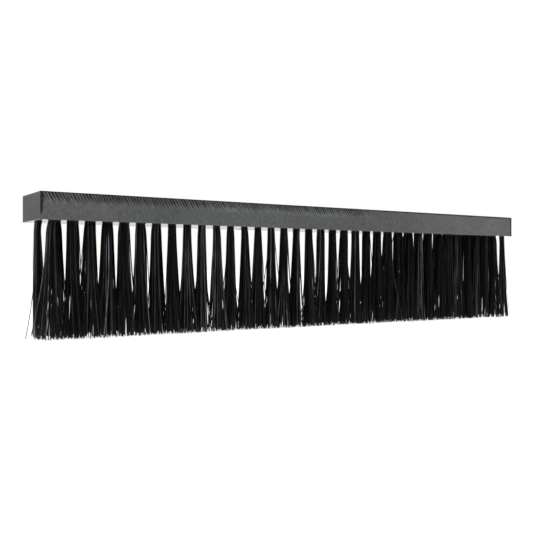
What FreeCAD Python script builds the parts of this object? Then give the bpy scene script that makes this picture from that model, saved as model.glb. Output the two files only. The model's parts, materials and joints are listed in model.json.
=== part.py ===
"""Bar brush: a plastic bar with two staggered rows of bristle tufts, each stapled in a drilled hole.

Millimetres. +X runs along the bar, the front face looks along -Y and +Z is up.
The origin is under the bar's middle, at the height of the bristle tips.
"""
import FreeCAD, Part
import math
import os

# The bar
BAR_LENGTH = 600.0
BAR_DEPTH = 56.0
BAR_HEIGHT = 24.0
EDGE_CHAMFER = 0.5

# The tufts and the holes that they are set in
TRIM_LENGTH = 103.0
TUFTS_PER_ROW = 37
END_MARGIN = 5.5
FRONT_ROW_INSET = 11.5
ROW_SPACING = 13.5
HOLE_DIAMETER = 7.0
HOLE_DEPTH = 14.0
DRILL_POINT_ANGLE = 118.0
ROOT_CLEARANCE = 0.2
TIP_GAP = 1.2
TUFTS_PER_NODE = 2

# The flat wire staples that pin each folded tuft in its hole
STAPLE_THICKNESS = 0.4
STAPLE_HEIGHT = 2.2
STAPLE_BITE = 0.75
STAPLE_CLEARANCE = 0.1
FOLD_THICKNESS = 3.0

# The screw holes through the plain strip behind the tufts
FIXING_DIAMETER = 6.5
FIXING_COUNT = 4
FIXING_END_DISTANCE = 60.0
FIXING_CHAMFER = 0.6

# Derived places
HOLE_RADIUS = HOLE_DIAMETER / 2
ROOT_RADIUS = HOLE_RADIUS - ROOT_CLEARANCE
UNDERSIDE = TRIM_LENGTH
TOP = UNDERSIDE + BAR_HEIGHT
HOLE_FLOOR = UNDERSIDE + HOLE_DEPTH
PITCH = (BAR_LENGTH - 2 * END_MARGIN) / (TUFTS_PER_ROW - 0.5)
STAGGER = PITCH / 2
FRONT_ROW_Y = -BAR_DEPTH / 2 + FRONT_ROW_INSET
BACK_ROW_Y = FRONT_ROW_Y + ROW_SPACING
BACK_ROW_START = -BAR_LENGTH / 2 + END_MARGIN
FRONT_ROW_START = BACK_ROW_START + STAGGER
NEIGHBOUR_DISTANCE = min(PITCH, math.hypot(STAGGER, ROW_SPACING))
TIP_RADIUS = (NEIGHBOUR_DISTANCE - TIP_GAP) / 2
ROOT_TOP = HOLE_FLOOR - ROOT_CLEARANCE
STAPLE_TOP = ROOT_TOP - FOLD_THICKNESS
STAPLE_BOTTOM = STAPLE_TOP - STAPLE_HEIGHT
STAPLE_LENGTH = HOLE_DIAMETER + 2 * STAPLE_BITE
FIXING_Y = (BACK_ROW_Y + HOLE_RADIUS + BAR_DEPTH / 2) / 2
FIXING_PITCH = (BAR_LENGTH - 2 * FIXING_END_DISTANCE) / (FIXING_COUNT - 1)

Z_AXIS = FreeCAD.Vector(0, 0, 1)


def row_places(start):
    """The X of every tuft in a row whose first tuft is at start."""
    return [start + i * PITCH for i in range(TUFTS_PER_ROW)]


def moved(shape, x, y):
    """A copy of a shape that was made on the Z axis, moved to x, y."""
    copy = shape.copy()
    copy.translate(FreeCAD.Vector(x, y, 0))
    return copy


def centred_box(width, depth, bottom, height):
    """A box that stands on the height bottom, centred on the Z axis."""
    return Part.makeBox(width, depth, height, FreeCAD.Vector(-width / 2, -depth / 2, bottom))


def tuft_hole_tool():
    """A blind drilled hole, with the cone that the drill point leaves."""
    point_depth = HOLE_RADIUS / math.tan(math.radians(DRILL_POINT_ANGLE / 2))
    bore = Part.makeCylinder(HOLE_RADIUS, HOLE_DEPTH, FreeCAD.Vector(0, 0, UNDERSIDE), Z_AXIS)
    point = Part.makeCone(HOLE_RADIUS, 0, point_depth, FreeCAD.Vector(0, 0, HOLE_FLOOR), Z_AXIS)
    return bore.fuse(point)


def fixing_hole_tool():
    """A screw hole through the bar, with both mouths chamfered."""
    radius = FIXING_DIAMETER / 2
    mouth_radius = radius + FIXING_CHAMFER
    shank = Part.makeCylinder(radius, BAR_HEIGHT, FreeCAD.Vector(0, 0, UNDERSIDE), Z_AXIS)
    lower_mouth = Part.makeCone(
        mouth_radius, radius, FIXING_CHAMFER, FreeCAD.Vector(0, 0, UNDERSIDE), Z_AXIS
    )
    upper_mouth = Part.makeCone(
        radius, mouth_radius, FIXING_CHAMFER, FreeCAD.Vector(0, 0, TOP - FIXING_CHAMFER), Z_AXIS
    )
    return shank.fuse([lower_mouth, upper_mouth])


def staple():
    """One flat wire staple across its hole, with both ends bitten into the hole's wall."""
    return centred_box(STAPLE_THICKNESS, STAPLE_LENGTH, STAPLE_BOTTOM, STAPLE_HEIGHT)


def tuft():
    """One folded tuft: its fold is domed over the staple, and its legs spread to the tips."""
    shoulder = ROOT_TOP - ROOT_RADIUS
    dome_middle = FreeCAD.Vector(
        ROOT_RADIUS * math.sin(math.pi / 4), 0, shoulder + ROOT_RADIUS * math.cos(math.pi / 4)
    )
    tip_centre = FreeCAD.Vector(0, 0, 0)
    tip_rim = FreeCAD.Vector(TIP_RADIUS, 0, 0)
    mouth_rim = FreeCAD.Vector(ROOT_RADIUS, 0, UNDERSIDE)
    dome_rim = FreeCAD.Vector(ROOT_RADIUS, 0, shoulder)
    crown = FreeCAD.Vector(0, 0, ROOT_TOP)
    edges = [
        Part.LineSegment(tip_centre, tip_rim).toShape(),
        Part.LineSegment(tip_rim, mouth_rim).toShape(),
        Part.LineSegment(mouth_rim, dome_rim).toShape(),
        Part.Arc(dome_rim, dome_middle, crown).toShape(),
        Part.LineSegment(crown, tip_centre).toShape(),
    ]
    solid = Part.Face(Part.Wire(edges)).revolve(tip_centre, Z_AXIS, 360)
    staple_slot = centred_box(
        STAPLE_THICKNESS + 2 * STAPLE_CLEARANCE,
        HOLE_DIAMETER,
        STAPLE_BOTTOM - STAPLE_CLEARANCE,
        STAPLE_HEIGHT + 2 * STAPLE_CLEARANCE,
    )
    return solid.cut(staple_slot)


def bar(tuft_places):
    """The bar, drilled for every tuft and every screw, and notched for every staple's ends."""
    block = centred_box(BAR_LENGTH, BAR_DEPTH, UNDERSIDE, BAR_HEIGHT)
    block = block.makeChamfer(EDGE_CHAMFER, block.Edges)
    tools = []
    for x, y in tuft_places:
        tools.append(moved(tuft_hole_tool(), x, y))
        tools.append(moved(staple(), x, y))
    first_fixing = -BAR_LENGTH / 2 + FIXING_END_DISTANCE
    for i in range(FIXING_COUNT):
        tools.append(moved(fixing_hole_tool(), first_fixing + i * FIXING_PITCH, FIXING_Y))
    return block.cut(tools)


def export(shape, node):
    """Write one sub-part to the file that carries its name."""
    shape.exportStep("parts/" + node + ".step")


def export_row(row, start, y):
    """Write one row's staples as one group, and its tufts in small groups along the bar."""
    places = row_places(start)
    export(Part.makeCompound([moved(staple(), x, y) for x in places]), row + "_staples")
    tufts = [moved(tuft(), x, y) for x in places]
    for first in range(0, TUFTS_PER_ROW, TUFTS_PER_NODE):
        group = tufts[first:first + TUFTS_PER_NODE]
        number = first // TUFTS_PER_NODE + 1
        export(Part.makeCompound(group), f"{row}_tufts_{number:02d}")


def main():
    os.makedirs("parts", exist_ok=True)
    rows = {
        "front": (FRONT_ROW_START, FRONT_ROW_Y),
        "back": (BACK_ROW_START, BACK_ROW_Y),
    }
    tuft_places = [(x, y) for start, y in rows.values() for x in row_places(start)]
    export(bar(tuft_places), "bar")
    for row, (start, y) in rows.items():
        export_row(row, start, y)


main()
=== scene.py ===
"""Looks of the bar brush: a sawn plastic bar and two rows of black bristle tufts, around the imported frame.

Metres, in the frame's own axes: +X along the bar, the front face looks along -Y, bristle tips at z = 0.
"""
import json
import math

import bmesh
import bpy
import numpy as np
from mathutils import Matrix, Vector, noise


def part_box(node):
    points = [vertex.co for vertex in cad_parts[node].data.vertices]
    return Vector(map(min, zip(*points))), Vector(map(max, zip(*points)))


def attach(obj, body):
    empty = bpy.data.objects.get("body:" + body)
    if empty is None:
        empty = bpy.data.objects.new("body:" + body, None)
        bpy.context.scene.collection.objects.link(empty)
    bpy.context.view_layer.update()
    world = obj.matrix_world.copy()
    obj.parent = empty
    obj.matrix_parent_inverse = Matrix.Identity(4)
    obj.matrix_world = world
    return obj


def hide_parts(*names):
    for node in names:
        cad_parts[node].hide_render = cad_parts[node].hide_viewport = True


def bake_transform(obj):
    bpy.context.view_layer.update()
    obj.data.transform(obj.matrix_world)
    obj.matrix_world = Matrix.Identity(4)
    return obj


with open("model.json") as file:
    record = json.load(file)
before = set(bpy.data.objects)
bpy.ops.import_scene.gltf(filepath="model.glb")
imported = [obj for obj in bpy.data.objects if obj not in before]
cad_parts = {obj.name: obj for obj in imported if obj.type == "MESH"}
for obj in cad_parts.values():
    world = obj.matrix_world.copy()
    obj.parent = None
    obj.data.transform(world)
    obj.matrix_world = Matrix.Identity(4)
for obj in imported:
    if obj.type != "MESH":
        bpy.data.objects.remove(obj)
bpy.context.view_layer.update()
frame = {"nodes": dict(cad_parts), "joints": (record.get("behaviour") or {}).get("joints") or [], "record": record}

MM = 0.001

# Places from the frame
BAR_LOW, BAR_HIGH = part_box("bar")
UNDERSIDE = BAR_LOW.z
TOP = BAR_HIGH.z
JOINTS = {joint["child"]: joint for joint in frame["joints"]}
ROWS = {row: JOINTS[row + "_row"]["pos_m"][1] for row in ("front", "back")}

# The drilled holes and the folded tufts in them
HOLE_RADIUS = 3.5 * MM
HOLE_DEPTH = 14 * MM
HOLE_CONE = 2.1 * MM
HOLE_SIDES = 28
DRILL_POINT_RADIUS = 0.1 * MM
DRILL_OVERSHOOT = 1 * MM         # how far each cutting tool stands out of the bar
SCREW_HOLE_BEVEL = 0.6 * MM
ROOT_RADIUS = 3.3 * MM
FOLD_CLEARANCE = 0.3 * MM
FOLD_START = 8 * MM              # above the underside, where the filaments start to fold over the staple

# The filaments of a tuft
FILAMENT_RADIUS = 0.375 * MM
FILAMENT_SIDES = 6
RING_COUNTS = (11, 8, 5, 1)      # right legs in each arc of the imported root, from the outside in
RING_STEP = 0.775 * MM
STAPLE_SIDE = 0.6 * MM           # the least distance of a leg's middle from the staple's plane
LEG_RINGS = 13
FOLD_RINGS = 5

# How the bristles spread, scatter and end
TIP_SPREAD = 5.5 * MM
SCATTER = (0.5 * MM, 2.0 * MM, 4.8 * MM)
SCATTER_SHARES = (0.78, 0.17, 0.05)
BOW = 0.35                       # a filament's sideways bow, as a share of its scatter
MOUTH_LENGTH = 0.10              # the share of the length in which a tuft widens at its hole's mouth
LONG_SHARE = 0.38                # the share of filament ends that are cut to nearly the full length
LONG_CUT = 0.5 * MM
SHORT_CUT = (1.8 * MM, 5.0 * MM)
TIP_CLEARANCE = 0.075 * MM       # the least height of a tip's middle

# The bar's mesh
EDGE_ROUNDING = 0.35 * MM
MARKED_STEP = 0.42 * MM
PLAIN_STEP = 1.5 * MM
FAR_END_STEP = 0.4 * MM
FRONT_ROWS, BACK_ROWS, FLAT_ROWS = 47, 17, 9
WAVE_DEPTH = 0.04 * MM
SAWN_SLOT, SHEET_SLOT = 0, 1

# The saw's marks and the wear on the front face. A drop is a distance below the bar's top.
SAW_PITCH = 2.95 * MM
SAW_SLOPE = 0.6
SAW_DEPTH = 0.25 * MM
SAW_FADE = (0.04, 0.08)          # the marks fade out between these X
COARSE_REACH, COARSE_STRENGTH = (9.0 * MM, 12.5 * MM), (0.70, 1.0)
FINE_REACH, FINE_STRENGTH = (3 * MM, 7 * MM), (0.3, 0.85)
NICK_REACH, NICK_STRENGTH = (3 * MM, 14 * MM), (-2.0, 0.8)    # below 0, there is no nick
NICK_STEEPNESS = 1.25
SMUDGE_STRENGTH = 0.5
SMEAR_STRENGTH = 0.88
SCUFF_COUNT = 26
SCUFF_HEIGHT = 2.5 * MM
RUB_X = 0.220
RUB_DROP = 14.5 * MM
RUB_LENGTH = 8 * MM
RUB_STRENGTH = 1.5

# Brightness. A sawn face's tone is 0 in a groove, where shade is painted, and 1 on the palest ridge, where a
# highlight is painted.
PLAIN_TONE = 0.72
SAWN_BRIGHTNESS = 2.40
BRISTLE_BRIGHTNESS = 1.9
WORLD_LIGHT = 0.12

FLOOR_REACH = 30
SEED = 7


def smoothstep(low, high, value):
    """0 below low, 1 above high and smooth between them, for numbers and arrays."""
    t = np.clip((value - low) / (high - low), 0, 1)
    return t * t * (3 - 2 * t)


# ---------------------------------------------------------------- materials

def grey(value):
    return (value, value, value)


class Nodes:
    """A new node material, with short calls to add and join nodes."""

    def __init__(self, name):
        self.material = bpy.data.materials.new(name)
        self.material.use_nodes = True
        self.tree = self.material.node_tree
        self.shader = self.tree.nodes["Principled BSDF"]

    def add(self, kind, **settings):
        node = self.tree.nodes.new(kind)
        for key, value in settings.items():
            setattr(node, key, value)
        return node

    def join(self, output, target):
        self.tree.links.new(output, target)

    def noise(self, coordinates, scale, detail=3.0, roughness=0.5):
        node = self.add("ShaderNodeTexNoise")
        self.join(coordinates, node.inputs["Vector"])
        node.inputs["Scale"].default_value = scale
        node.inputs["Detail"].default_value = detail
        node.inputs["Roughness"].default_value = roughness
        return node.outputs["Fac"]

    def stretched(self, scale):
        """Object coordinates, scaled by a different factor along each axis."""
        place = self.add("ShaderNodeTexCoord").outputs["Object"]
        mapping = self.add("ShaderNodeMapping")
        mapping.inputs["Scale"].default_value = scale
        self.join(place, mapping.inputs["Vector"])
        return mapping.outputs["Vector"]

    def ramp(self, value, stops):
        node = self.add("ShaderNodeValToRGB")
        elements = node.color_ramp.elements
        while len(elements) < len(stops):
            elements.new(0.5)
        for element, (position, colour) in zip(elements, stops):
            element.position = position
            element.color = (*colour, 1)
        self.join(value, node.inputs["Fac"])
        return node.outputs["Color"]

    def range(self, value, low, high):
        node = self.add("ShaderNodeMapRange")
        node.inputs["To Min"].default_value = low
        node.inputs["To Max"].default_value = high
        self.join(value, node.inputs["Value"])
        return node.outputs["Result"]

    def combine(self, kind, first, second):
        """Joins two colours by MULTIPLY or ADD. second is an output or a plain colour."""
        node = self.add("ShaderNodeMix", data_type="RGBA", blend_type=kind)
        node.inputs["Factor"].default_value = 1.0
        sockets = [s for s in node.inputs if s.type == "RGBA"]
        self.join(first, sockets[0])
        if isinstance(second, tuple):
            sockets[1].default_value = (*second, 1)
        else:
            self.join(second, sockets[1])
        return [s for s in node.outputs if s.type == "RGBA"][0]

    def attribute(self, name):
        return self.add("ShaderNodeAttribute", attribute_name=name).outputs["Fac"]

    def bump(self, height, strength, distance, normal=None):
        node = self.add("ShaderNodeBump")
        node.inputs["Strength"].default_value = strength
        node.inputs["Distance"].default_value = distance
        self.join(height, node.inputs["Height"])
        if normal is not None:
            self.join(normal, node.inputs["Normal"])
        return node.outputs["Normal"]


def sawn_plastic():
    """The bar's sawn faces: matt grey, faintly blotched, with shade painted into the grooves and a painted
    highlight on the ridges.
    """
    n = Nodes("sawn_plastic")
    blotches = n.noise(n.stretched((14, 14, 30)), 1.0, detail=2.0)
    colour = n.ramp(blotches, [(0.32, (0.051, 0.053, 0.052)), (0.68, (0.063, 0.065, 0.066))])
    mottle = n.noise(n.stretched((420, 420, 300)), 1.0, detail=3.0, roughness=0.6)
    colour = n.combine("MULTIPLY", colour, n.ramp(mottle, [(0.35, grey(0.74)), (0.65, grey(1.0))]))
    grain = n.noise(n.stretched((900, 900, 260)), 1.0, detail=4.0, roughness=0.65)
    # The tone ramp paints shade near-black into the saw's grooves and paints the ridges paler than the plain face.
    tones = [(0.0, (0.012, 0.012, 0.016)), (PLAIN_TONE, grey(0.64)), (1.0, grey(1.0))]
    colour = n.combine("MULTIPLY", colour, n.ramp(n.attribute("tone"), tones))
    colour = n.combine("MULTIPLY", colour, grey(SAWN_BRIGHTNESS))
    n.join(colour, n.shader.inputs["Base Color"])
    n.join(n.range(grain, 0.48, 0.62), n.shader.inputs["Roughness"])
    n.shader.inputs["Specular IOR Level"].default_value = 0.08
    fine = n.bump(grain, 0.25, 0.00008)
    n.join(n.bump(mottle, 0.15, 0.0002, fine), n.shader.inputs["Normal"])
    return n.material


def sheet_plastic():
    """The bar's top and underside: the pressed sheet's own smooth skin, with fine handling scratches."""
    n = Nodes("sheet_plastic")
    cloud = n.noise(n.stretched((25, 25, 25)), 1.0, detail=3.0)
    colour = n.ramp(cloud, [(0.3, (0.054, 0.056, 0.056)), (0.7, (0.064, 0.066, 0.067))])
    scratches = n.noise(n.stretched((30, 1400, 30)), 1.0, detail=5.0, roughness=0.7)
    n.join(colour, n.shader.inputs["Base Color"])
    n.join(n.range(scratches, 0.15, 0.27), n.shader.inputs["Roughness"])
    n.join(n.bump(scratches, 0.08, 0.00004), n.shader.inputs["Normal"])
    return n.material


def bristle_plastic():
    """Black extruded filament with a satin skin. Each filament has its own tint, and the palest ones are painted
    highlights; painted glints streak along them, and the tips are painted paler, partly for their worn cut ends
    and partly as painted light that they catch.
    """
    n = Nodes("bristle_plastic")
    shade = n.attribute("shade")
    # The ramp's sparse pale tail paints the highlights that the strands catch; the rest is each filament's own
    # slight tint.
    colour = n.ramp(shade, [
        (0.0, (0.0004, 0.0004, 0.0006)),
        (0.30, (0.006, 0.006, 0.008)),
        (0.65, (0.044, 0.046, 0.052)),
        (1.0, (0.120, 0.125, 0.138)),
    ])
    # Painted glints: streaks of painted highlight along the filaments, as if light caught them where they bend.
    painted_glints = n.noise(n.stretched((600, 600, 32)), 1.0, detail=2.0, roughness=0.6)
    colour = n.combine("MULTIPLY", colour, n.ramp(painted_glints, [(0.40, grey(0.25)), (0.64, grey(1.0))]))
    colour = n.combine("MULTIPLY", colour, grey(BRISTLE_BRIGHTNESS))
    height = n.add("ShaderNodeSeparateXYZ")
    n.join(n.add("ShaderNodeTexCoord").outputs["Object"], height.inputs["Vector"])
    # Paler tips: partly their worn cut ends, partly painted light that the tips catch.
    tip_light_and_wear = n.ramp(height.outputs["Z"], [(0.0, (0.006, 0.006, 0.007)), (0.018, grey(0.0))])
    colour = n.combine("ADD", colour, tip_light_and_wear)
    n.join(colour, n.shader.inputs["Base Color"])
    n.join(n.range(shade, 0.28, 0.42), n.shader.inputs["Roughness"])
    n.shader.inputs["Specular IOR Level"].default_value = 0.12
    return n.material


def staple_steel():
    """Bright drawn flat wire."""
    n = Nodes("staple_steel")
    drawn = n.noise(n.stretched((4000, 200, 4000)), 1.0, detail=2.0)
    colour = n.ramp(drawn, [(0.3, (0.46, 0.46, 0.47)), (0.7, (0.62, 0.62, 0.63))])
    n.join(colour, n.shader.inputs["Base Color"])
    n.join(n.range(drawn, 0.25, 0.4), n.shader.inputs["Roughness"])
    n.shader.inputs["Metallic"].default_value = 1.0
    return n.material


def floor_paint():
    """The plain pale floor: a white light table with a faint even glow of its own."""
    n = Nodes("floor_paint")
    tone = n.noise(n.stretched((2, 2, 2)), 1.0)
    n.join(n.ramp(tone, [(0.0, grey(0.46)), (1.0, grey(0.48))]), n.shader.inputs["Base Color"])
    n.shader.inputs["Emission Color"].default_value = (1, 1, 1, 1)
    n.shader.inputs["Emission Strength"].default_value = 0.66
    n.shader.inputs["Roughness"].default_value = 0.8
    n.shader.inputs["Specular IOR Level"].default_value = 0.1
    return n.material


# ---------------------------------------------------------------- the bar

def noise_field(x, drop, length, height):
    """Smooth noise, about -1 to 1, with blotches of that length along the bar and that height down it."""
    values = [noise.noise(Vector((px / length, pd / height, 5.0))) for px, pd in zip(x.flat, drop.flat)]
    return np.array(values).reshape(x.shape)


def line_set(random, x, drop, pitch, slope, reach, strength):
    """A set of slanted cuts that start at the top edge, each of its own depth and length, up to 1."""
    turn = (x - drop * slope) / pitch
    lines = np.floor(turn).astype(int)
    count = lines.max() - lines.min() + 1
    own_reach = random.uniform(*reach, count)[lines - lines.min()]
    own_strength = random.uniform(*strength, count)[lines - lines.min()]
    profile = smoothstep(0.10, 0.55, 0.5 - 0.5 * np.cos(2 * math.pi * (turn - lines)))
    return profile * own_strength * (1 - smoothstep(own_reach * 0.35, own_reach, drop))


def before_saw_end(x):
    """1 where the saw's marks are, and 0 on the plain face past them."""
    return 1 - smoothstep(*SAW_FADE, x)


def saw_marks(random, x, drop):
    """The saw's marks on the front face, from 0 to 1: how deep they are cut, and how much shade is painted into
    them.
    """
    wander = 0.4 * MM * np.interp(x, np.linspace(BAR_LOW.x, BAR_HIGH.x, 60), random.normal(0, 1, 60))
    coarse = line_set(random, x + wander, drop, SAW_PITCH, SAW_SLOPE, COARSE_REACH, COARSE_STRENGTH)
    fine = line_set(random, x + wander, drop, SAW_PITCH / 2, -SAW_SLOPE, FINE_REACH, FINE_STRENGTH)
    nicks = line_set(random, x, drop, SAW_PITCH, SAW_SLOPE * NICK_STEEPNESS, NICK_REACH, NICK_STRENGTH)
    fine = fine * smoothstep(-0.21, -0.10, x)
    smudge = SMUDGE_STRENGTH * smoothstep(0.1, 0.5, noise_field(x, drop, 9 * MM, 4 * MM))
    smudge = smudge * smoothstep(1 * MM, 4 * MM, drop) * (1 - smoothstep(6 * MM, 10 * MM, drop))
    marks = np.maximum(np.maximum(coarse, smudge), np.maximum(fine, nicks))
    return marks * before_saw_end(x)


def painted_ridge_highlight(x, drop):
    """How much painted highlight the ridges between the saw's marks get, from 0 to 1."""
    return (1 - smoothstep(6 * MM, 12 * MM, drop)) * before_saw_end(x)


def painted_edge_shade(random, x, drop):
    """A painted dark line along the top edge and round the far end, standing in for the shade and dark reflection
    on the rounded edges, from 0 to 1.
    """
    patchy = np.interp(x, np.linspace(BAR_LOW.x, BAR_HIGH.x, 240), random.uniform(0.45, 1.0, 240))
    width = 1.7 * MM + 1.0 * MM * smoothstep(0, 0.2, x)
    top = patchy * (1 - smoothstep(0.6 * MM, width, drop))
    end = smoothstep(BAR_HIGH.x - 3.4 * MM, BAR_HIGH.x - 1.8 * MM, x) * (0.6 + 0.4 * patchy)
    return np.maximum(top, end)


def scuffs(random, x, drop):
    """Pale rubbed streaks low on the front face, from 0 to 1, and one stronger rub near the far end."""
    light = np.zeros_like(x)
    for _ in range(SCUFF_COUNT):
        middle_x = random.uniform(BAR_LOW.x + 20 * MM, BAR_HIGH.x - 20 * MM)
        middle_drop = random.uniform(9 * MM, 20 * MM)
        lean = random.uniform(-2.0, 2.0)
        along = (x - middle_x) - lean * (drop - middle_drop)
        reach = random.uniform(0.6 * MM, 1.8 * MM)
        spot = np.exp(-(along / reach) ** 2 - ((drop - middle_drop) / SCUFF_HEIGHT) ** 2)
        light = np.maximum(light, spot * random.uniform(0.3, 1.0))
    slant = (drop - RUB_DROP) - 0.5 * (x - RUB_X)
    rub = np.exp(-(slant / SCUFF_HEIGHT) ** 2 - ((x - RUB_X) / RUB_LENGTH) ** 2)
    return np.maximum(light, RUB_STRENGTH * rub)


def smear(random, x, drop):
    """The rubbed patch down the near end of the front face, from 0 to 1."""
    wander = np.interp(drop, np.linspace(0, 0.03, 16), random.normal(0, 0.4 * MM, 16))
    edge = wander + np.interp(drop, (0, 8 * MM, 20 * MM), (3.2 * MM, 2.8 * MM, 1.4 * MM))
    across = 1 - smoothstep(edge - 0.7 * MM, edge + 0.9 * MM, x - BAR_LOW.x)
    return SMEAR_STRENGTH * across * (1 - smoothstep(17 * MM, 22 * MM, drop))


def bar_stations():
    """The X of every cross-section: close together at the saw's marks and the far end, wider between."""
    marked = np.arange(BAR_LOW.x + EDGE_ROUNDING, SAW_FADE[1], MARKED_STEP)
    plain = np.arange(marked[-1] + PLAIN_STEP, BAR_HIGH.x - 4 * MM, PLAIN_STEP)
    last = BAR_HIGH.x - EDGE_ROUNDING
    far_end = np.arange(last - 8 * FAR_END_STEP, last + EDGE_ROUNDING / 2, FAR_END_STEP)
    return np.concatenate([[BAR_LOW.x], marked, plain, far_end, [BAR_HIGH.x]])


def bar_section():
    """The section's outline as (y, z, face), from the front's lower edge up, over and back."""
    r = EDGE_ROUNDING
    front, back = BAR_LOW.y, BAR_HIGH.y
    points = [(front, z, "front") for z in np.linspace(UNDERSIDE + r, TOP - r, FRONT_ROWS)]
    points += [(y, TOP, "top") for y in np.linspace(front + r, back - r, FLAT_ROWS)]
    points += [(back, z, "back") for z in np.linspace(TOP - r, UNDERSIDE + r, BACK_ROWS)]
    points += [(y, UNDERSIDE, "underside") for y in np.linspace(back - r, front + r, FLAT_ROWS)]
    return points


def surface_wave(x, y, z):
    """The slight waviness of the sawn faces, as a distance inward."""
    places = zip(x.flat, y.flat, z.flat)
    heights = [noise.noise(Vector((px * 60, py * 90, pz * 80))) for px, py, pz in places]
    return WAVE_DEPTH * np.array(heights).reshape(x.shape)


def front_tone(random, x, drop, dark):
    """The bar's tone: paler where scuffed, with painted highlights on the ridges by the saw's marks and along the
    lower edge, painted lighter toward the far end and darker through the middle, and black where dark is 1, as
    painted shade.
    """
    # Painted light: the tone rises toward the far end, where the light falls stronger. It is also darker through
    # the middle.
    darker_middle = smoothstep(-0.28, -0.18, x) * (1 - smoothstep(0.04, 0.18, x))
    # Painted highlight on the ridges between the saw's marks.
    lit_ridges = (0.12 + 0.22 * smoothstep(-0.20, -0.10, x)) * painted_ridge_highlight(x, drop)
    tone = PLAIN_TONE + lit_ridges - 0.08 * darker_middle + 0.05 * smoothstep(0.10, 0.2, x)
    # The last term paints a highlight along the lower edge, where the rounded edge catches the floor's light.
    tone = tone + 0.07 * scuffs(random, x, drop) + 0.06 * smoothstep(22.6 * MM, 23.6 * MM, drop)
    # Painted shade: black where dark is 1, in the saw's grooves and along the edges.
    return tone * (1 - dark)


def shrink(values, end, low, high):
    """Draws an end's outline in by the edge rounding, about the middle between low and high."""
    middle = (low + high) / 2
    values[end] = middle + (values[end] - middle) * (1 - 2 * EDGE_ROUNDING / (high - low))


def skin_faces(section, station_count):
    """The faces between the cross-sections and over both ends, and the material slot of each."""
    count = len(section)
    faces, slots = [], []
    for i in range(station_count - 1):
        for j in range(count):
            k = (j + 1) % count
            faces.append((i * count + j, i * count + k, (i + 1) * count + k, (i + 1) * count + j))
            flat = section[j][2] == section[k][2] and section[j][2] in ("top", "underside")
            slots.append(SHEET_SLOT if flat else SAWN_SLOT)
    last = (station_count - 1) * count
    faces.append(tuple(reversed(range(count))))
    faces.append(tuple(last + j for j in range(count)))
    slots += [SAWN_SLOT, SAWN_SLOT]
    return faces, slots


def bar_mesh(random):
    """The bar as one closed skin, with the saw's marks cut into its front, before it is drilled."""
    section = bar_section()
    stations = bar_stations()
    x = np.repeat(stations[:, None], len(section), axis=1)
    y = np.tile([p[0] for p in section], (len(stations), 1))
    z = np.tile([p[1] for p in section], (len(stations), 1))
    at_front = np.array([p[2] == "front" for p in section])
    drop = TOP - z
    marks = np.maximum(saw_marks(random, x, drop), smear(random, x, drop)) * at_front
    # Painted shade along the top edge and round the far end.
    edge_line_shade = painted_edge_shade(random, x, drop) * (y < BAR_LOW.y + 2 * EDGE_ROUNDING)
    middle_y = (BAR_LOW.y + BAR_HIGH.y) / 2
    inward = np.where(y < middle_y, 1, -1) * np.array([p[2] in ("front", "back") for p in section])
    y = y + inward * (SAW_DEPTH * marks + WAVE_DEPTH + surface_wave(x, y, z))
    tone = front_tone(random, x, drop, np.maximum(marks, edge_line_shade))
    for end in (0, -1):
        tone[end] = PLAIN_TONE
        shrink(y, end, BAR_LOW.y, BAR_HIGH.y)
        shrink(z, end, UNDERSIDE, TOP)
    faces, slots = skin_faces(section, len(stations))
    mesh = bpy.data.meshes.new("bar_body")
    mesh.from_pydata(np.stack([x, y, z], axis=-1).reshape(-1, 3).tolist(), [], faces)
    mesh.attributes.new("tone", "FLOAT", "POINT").data.foreach_set("value", tone.ravel())
    mesh.polygons.foreach_set("material_index", slots)
    fix = bmesh.new()
    fix.from_mesh(mesh)
    bmesh.ops.recalc_face_normals(fix, faces=fix.faces)
    fix.to_mesh(mesh)
    fix.free()
    return mesh


def lathe(outline, x, y, vertices, faces):
    """Adds a closed turned solid on the upright axis through x, y. outline is (radius, z), from below up."""
    base = len(vertices)
    for radius, z in outline:
        for i in range(HOLE_SIDES):
            angle = 2 * math.pi * i / HOLE_SIDES
            vertices.append((x + radius * math.cos(angle), y + radius * math.sin(angle), z))
    for ring in range(len(outline) - 1):
        for i in range(HOLE_SIDES):
            k = (i + 1) % HOLE_SIDES
            low, high = base + ring * HOLE_SIDES, base + (ring + 1) * HOLE_SIDES
            faces.append((low + i, low + k, high + k, high + i))
    faces.append(tuple(base + i for i in reversed(range(HOLE_SIDES))))
    top = base + (len(outline) - 1) * HOLE_SIDES
    faces.append(tuple(top + i for i in range(HOLE_SIDES)))


def drill_tools(tuft_places):
    """Every hole of the bar as one cutting object."""
    vertices, faces = [], []
    floor_z = UNDERSIDE + HOLE_DEPTH
    blind = [
        (HOLE_RADIUS, UNDERSIDE - DRILL_OVERSHOOT),
        (HOLE_RADIUS, floor_z),
        (DRILL_POINT_RADIUS, floor_z + HOLE_CONE),
    ]
    for x, y in tuft_places:
        lathe(blind, x, y, vertices, faces)
    for pattern in ("outer_screw_holes", "inner_screw_holes"):
        mount = next(m for m in frame["record"]["mounts"] if m["name"] == pattern)
        radius = mount["dims"]["hole_r_mm"] * MM
        mouth_radius = radius + SCREW_HOLE_BEVEL + DRILL_OVERSHOOT
        through = [
            (mouth_radius, UNDERSIDE - DRILL_OVERSHOOT),
            (radius, UNDERSIDE + SCREW_HOLE_BEVEL),
            (radius, TOP - SCREW_HOLE_BEVEL),
            (mouth_radius, TOP + DRILL_OVERSHOOT),
        ]
        for side in (-0.5, 0.5):
            x = mount["pos_m"][0] + side * mount["dims"]["spacing_x_mm"] * MM
            lathe(through, x, mount["pos_m"][1], vertices, faces)
    mesh = bpy.data.meshes.new("drill_tools")
    mesh.from_pydata(vertices, [], faces)
    tools = bpy.data.objects.new("drill_tools", mesh)
    bpy.context.scene.collection.objects.link(tools)
    return tools


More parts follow.
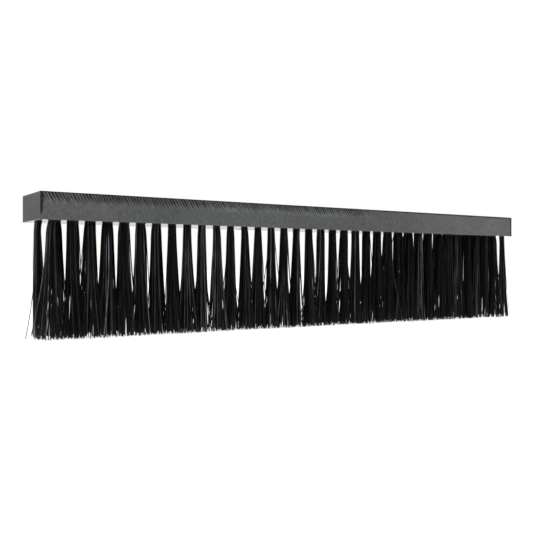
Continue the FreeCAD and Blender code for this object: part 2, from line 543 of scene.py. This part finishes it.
def make_bar(random, tuft_places, sawn, sheet):
    """Makes the finished bar: sawn, drilled, and with its edges shaded sharp."""
    mesh = bar_mesh(random)
    mesh.materials.append(sawn)
    mesh.materials.append(sheet)
    bar = bpy.data.objects.new("bar_body", mesh)
    bpy.context.scene.collection.objects.link(bar)
    tools = drill_tools(tuft_places)
    cut = bar.modifiers.new("drill", "BOOLEAN")
    cut.operation = "DIFFERENCE"
    cut.solver = "MANIFOLD"
    cut.object = tools
    evaluated = bar.evaluated_get(bpy.context.evaluated_depsgraph_get())
    drilled = bpy.data.meshes.new_from_object(evaluated)
    bar.modifiers.clear()
    bar.data = drilled
    bar.data.name = "bar_body"
    bpy.data.objects.remove(tools)
    bar.data.shade_smooth()
    bar.data.set_sharp_from_angle(angle=math.radians(32))
    for face in bar.data.polygons:
        if face.material_index == SHEET_SLOT or abs(face.normal.x) > 0.999:
            face.use_smooth = False
    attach(bar, "stock_body")
    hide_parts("bar")


# ---------------------------------------------------------------- the tufts

def packed_legs(random):
    """Where the filaments' right legs stand in a hole, as (x, y) from its centre: in arcs by the staple."""
    legs = []
    outer = ROOT_RADIUS - FILAMENT_RADIUS
    for ring, count in enumerate(RING_COUNTS):
        radius = outer - ring * RING_STEP
        half_turn = math.acos(STAPLE_SIDE / radius) if count > 1 else 0.0
        for angle in np.linspace(-half_turn, half_turn, count):
            legs.append((radius * math.cos(angle), radius * math.sin(angle)))
    places = np.array(legs)
    return places + random.normal(0, 0.02 * MM, places.shape)


def leg_points(root, random, tuft):
    """One leg of a filament from inside its hole down to its tip."""
    scatter = random.choice(SCATTER, p=SCATTER_SHARES) * tuft["scatter"]
    out = root / ROOT_RADIUS
    tip = root + out * TIP_SPREAD * tuft["flare"] * random.normal(1, 0.12) + tuft["lean"]
    tip = tip + random.normal(0, scatter, 2)
    bow = random.normal(0, BOW * scatter, 2)
    straight = tuft["straight"] + random.normal(0, 0.08)
    cut = random.random()
    if cut < LONG_SHARE:
        tip_z = tuft["short"] + LONG_CUT * cut / LONG_SHARE
    else:
        tip_z = tuft["short"] + np.interp(cut, (LONG_SHARE, 1.0), SHORT_CUT)
    shares = np.concatenate([[0, 0.02, 0.05], np.linspace(0.1, 1, LEG_RINGS - 5)])
    widening = straight * shares + (1 - straight) * shares ** 2
    across = root + (tip - root) * widening[:, None] + bow * np.sin(math.pi * shares)[:, None]
    opening = np.sqrt(smoothstep(0, MOUTH_LENGTH, shares))[:, None]
    across = across + (tuft["mouth"] + out * tuft["splay"]) * opening
    free = np.column_stack([across, UNDERSIDE - (UNDERSIDE - tip_z) * shares])
    in_hole = np.array([
        [root[0], root[1], UNDERSIDE + FOLD_START],
        [root[0], root[1], UNDERSIDE + FOLD_START / 4],
    ])
    return np.vstack([in_hole, free])


def filament_points(root, random, tuft):
    """One whole filament: up from a tip, over the staple and down to the other tip."""
    right = leg_points(root, random, tuft)
    left = leg_points(root * np.array([-1, 1]), random, tuft)
    fold_base = UNDERSIDE + FOLD_START
    crown = UNDERSIDE + HOLE_DEPTH - FOLD_CLEARANCE - ROOT_RADIUS + root[0] * 0.85
    angles = np.linspace(0, math.pi, FOLD_RINGS + 2)[1:-1]
    fold = np.column_stack([
        root[0] * np.cos(angles),
        np.full(FOLD_RINGS, root[1]),
        fold_base + (crown - fold_base) * np.sin(angles),
    ])
    return np.vstack([right[::-1], fold, left])


def tube_rings(points, radius):
    """The vertices of a round tube along points, ring by ring."""
    tangents = np.gradient(points, axis=0)
    tangents /= np.linalg.norm(tangents, axis=1)[:, None]
    side = np.array([0.0, 1.0, 0.0]) - tangents * tangents[:, 1:2]
    side /= np.linalg.norm(side, axis=1)[:, None]
    other = np.cross(tangents, side)
    angles = 2 * math.pi * np.arange(FILAMENT_SIDES) / FILAMENT_SIDES
    circle = np.cos(angles)[None, :, None] * side[:, None] + np.sin(angles)[None, :, None] * other[:, None]
    return (points[:, None] + radius * circle).reshape(-1, 3)


def tube_faces(rings):
    """The faces of one tube with that many rings, closed at both ends."""
    n = FILAMENT_SIDES
    faces = []
    for ring in range(rings - 1):
        for i in range(n):
            k = (i + 1) % n
            faces.append((ring * n + i, ring * n + k, (ring + 1) * n + k, (ring + 1) * n + i))
    faces.append(tuple(reversed(range(n))))
    faces.append(tuple((rings - 1) * n + i for i in range(n)))
    return faces


def tuft_character(random, row, x, first, last):
    """How one tuft leaves its hole, leans and spreads, and how pale its painted highlights are.

    mouth shifts it from its hole's mouth down and lean shifts its tips, splay widens it from the mouth down
    and flare widens its tips, straight is how evenly it widens toward them, and short is what it lacks in
    length. scatter and paleness are factors; the latter raises the tint of its filaments, and with it their
    painted highlights.
    """
    ends = smoothstep(0.06, 0.16, x) + smoothstep(-0.18, -0.22, x)
    near_flare = 1.2 - 0.35 * smoothstep(-0.22, -0.05, x)
    tuft = {
        "mouth": random.normal(0, 0.35 * MM, 2),
        "lean": random.normal(0, 1.6 * MM, 2),
        "flare": np.clip(random.normal(1, 0.26), 0.5, 1.5) * near_flare,
        "splay": random.uniform(-0.2 * MM, 0.3 * MM) + 0.8 * MM * ends,
        "straight": random.uniform(0.0, 0.6),
        "short": random.uniform(0.0, 0.4 * MM),
        "scatter": 1.0,
        "paleness": random.uniform(0.5, 1.25),
    }
    if row == "back" and first:
        tuft.update(mouth=np.array([-1.0 * MM, 0]), lean=np.array([1.2 * MM, 0]), flare=0.5)
        tuft.update(splay=-0.3 * MM, scatter=1.7)
    if row == "front" and first:
        tuft.update(mouth=np.array([-1.2 * MM, 0]), splay=0.4 * MM, straight=0.6, paleness=0.7)
    if row == "front" and last:
        tuft.update(mouth=np.array([0.5 * MM, 0]), lean=np.array([2.2 * MM, 0]), flare=0.9)
        tuft.update(splay=-0.4 * MM)
    return tuft


def make_tufts(node, row, places, random, material, first_node, last_node):
    """Makes the tufts of one CAD node as one piece, every filament a closed tube of its own."""
    rings = 2 * LEG_RINGS + FOLD_RINGS
    tube_size = rings * FILAMENT_SIDES
    one_tube = np.array([f for f in tube_faces(rings) if len(f) == 4])
    caps = [f for f in tube_faces(rings) if len(f) != 4]
    vertices, faces, shades = [], [], []
    base = 0
    for index, (x, y) in enumerate(places):
        first = first_node and index == 0
        last = last_node and index == len(places) - 1
        tuft = tuft_character(random, row, x, first, last)
        for root in packed_legs(random):
            points = filament_points(root, random, tuft) + np.array([x, y, 0])
            points[:, 2] = np.maximum(points[:, 2], TIP_CLEARANCE)
            vertices.append(tube_rings(points, FILAMENT_RADIUS * random.normal(1, 0.04)))
            faces += (one_tube + base).tolist()
            faces += [tuple(base + i for i in cap) for cap in caps]
            # A filament's tint; the few palest are painted highlights, and the tuft's gain paints some tufts as if
            # lit more than others.
            shade = min(1.0, tuft["paleness"] * random.random() ** 4)
            shades += [shade] * tube_size
            base += tube_size
    mesh = bpy.data.meshes.new(node + "_bristles")
    mesh.from_pydata(np.vstack(vertices).tolist(), [], faces)
    mesh.attributes.new("shade", "FLOAT", "POINT").data.foreach_set("value", shades)
    mesh.materials.append(material)
    mesh.shade_smooth()
    mesh.set_sharp_from_angle(angle=math.radians(75))
    piece = bpy.data.objects.new(node + "_bristles", mesh)
    bpy.context.scene.collection.objects.link(piece)
    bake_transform(piece)
    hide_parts(node)


def node_places(node, row):
    """The centres of a node's tufts, from its box: the tufts are alike and stand at an even pitch."""
    low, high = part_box(node)
    y = ROWS[row]
    radius = (high.y - low.y) / 2
    if high.x - low.x < 3 * radius:
        return [((low.x + high.x) / 2, y)]
    return [(low.x + radius, y), (high.x - radius, y)]


# ---------------------------------------------------------------- stage, light and camera

def make_floor():
    """The floor under the bristle tips, wide enough to reach past the view."""
    r = FLOOR_REACH
    corners = [(-r, -r, 0), (r, -r, 0), (r, r, 0), (-r, r, 0)]
    mesh = bpy.data.meshes.new("floor")
    mesh.from_pydata(corners, [], [(0, 1, 2, 3)])
    mesh.materials.append(floor_paint())
    floor = bpy.data.objects.new("floor", mesh)
    bpy.context.scene.collection.objects.link(floor)


def make_world():
    """White behind everything that the camera sees, and a dimmer even light for the rest."""
    world = bpy.data.worlds.new("studio")
    world.use_nodes = True
    bpy.context.scene.world = world
    tree = world.node_tree
    seen = tree.nodes.new("ShaderNodeBackground")
    seen.inputs["Color"].default_value = (1, 1, 1, 1)
    lighting = tree.nodes["Background"]
    lighting.inputs["Color"].default_value = (1, 1, 1, 1)
    lighting.inputs["Strength"].default_value = WORLD_LIGHT
    path = tree.nodes.new("ShaderNodeLightPath")
    mix = tree.nodes.new("ShaderNodeMixShader")
    tree.links.new(path.outputs["Is Camera Ray"], mix.inputs["Fac"])
    tree.links.new(lighting.outputs["Background"], mix.inputs[1])
    tree.links.new(seen.outputs["Background"], mix.inputs[2])
    tree.links.new(mix.outputs["Shader"], tree.nodes["World Output"].inputs["Surface"])


def add_sun(name, strength, size, toward):
    """A soft sun that shines in the direction toward. size is its width in degrees."""
    data = bpy.data.lights.new(name, "SUN")
    data.energy = strength
    data.angle = math.radians(size)
    light = bpy.data.objects.new(name, data)
    light.rotation_mode = "QUATERNION"
    light.rotation_quaternion = Vector(toward).to_track_quat("-Z", "Y")
    bpy.context.scene.collection.objects.link(light)


def add_softbox(name, power, size, place, target):
    """A square soft light at a place, turned to face a target."""
    data = bpy.data.lights.new(name, "AREA")
    data.energy = power
    data.size = size
    light = bpy.data.objects.new(name, data)
    light.location = place
    light.rotation_mode = "QUATERNION"
    light.rotation_quaternion = (Vector(target) - Vector(place)).to_track_quat("-Z", "Y")
    bpy.context.scene.collection.objects.link(light)


def make_camera():
    """The camera stands off the left front, level with the bristles, and looks straight ahead."""
    data = bpy.data.cameras.new("camera")
    data.sensor_width = 36
    data.lens = 49.88
    data.shift_y = 0.0056
    camera = bpy.data.objects.new("camera", data)
    camera.location = (-0.4766, -0.6527, 0.0607)
    camera.rotation_euler = (math.radians(90), 0, math.radians(-32.82))
    bpy.context.scene.collection.objects.link(camera)
    bpy.context.scene.camera = camera


# ---------------------------------------------------------------- the build

def main():
    """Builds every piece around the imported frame, and the stage, lights and camera."""
    random = np.random.default_rng(SEED)
    bristle = bristle_plastic()
    nodes = {row: sorted(n for n in frame["nodes"] if n.startswith(row + "_tufts")) for row in ROWS}
    places = {n: node_places(n, row) for row in ROWS for n in nodes[row]}
    make_bar(random, [p for group in places.values() for p in group], sawn_plastic(), sheet_plastic())
    for row in ROWS:
        for node in nodes[row]:
            first_node, last_node = node == nodes[row][0], node == nodes[row][-1]
            make_tufts(node, row, places[node], random, bristle, first_node, last_node)
    steel = staple_steel()
    for row in ROWS:
        staples = frame["nodes"][row + "_staples"]
        staples.data.materials.clear()
        staples.data.materials.append(steel)
    make_floor()
    make_world()
    add_sun("overhead_light", 3.6, 100, (0.14, 0.24, -1))
    add_softbox("right_softbox", 8, 1.6, (0.9, -1.0, 0.7), (0.2, 0.0, 0.08))
    add_softbox("left_softbox", 6.5, 1.2, (-1.3, -0.1, 0.45), (-0.3, 0.0, 0.11))
    add_softbox("rim_softbox", 6, 0.8, (1.4, 0.55, 0.30), (0.2, 0.0, 0.06))
    make_camera()
    bpy.context.scene.view_settings.view_transform = "Standard"


main()
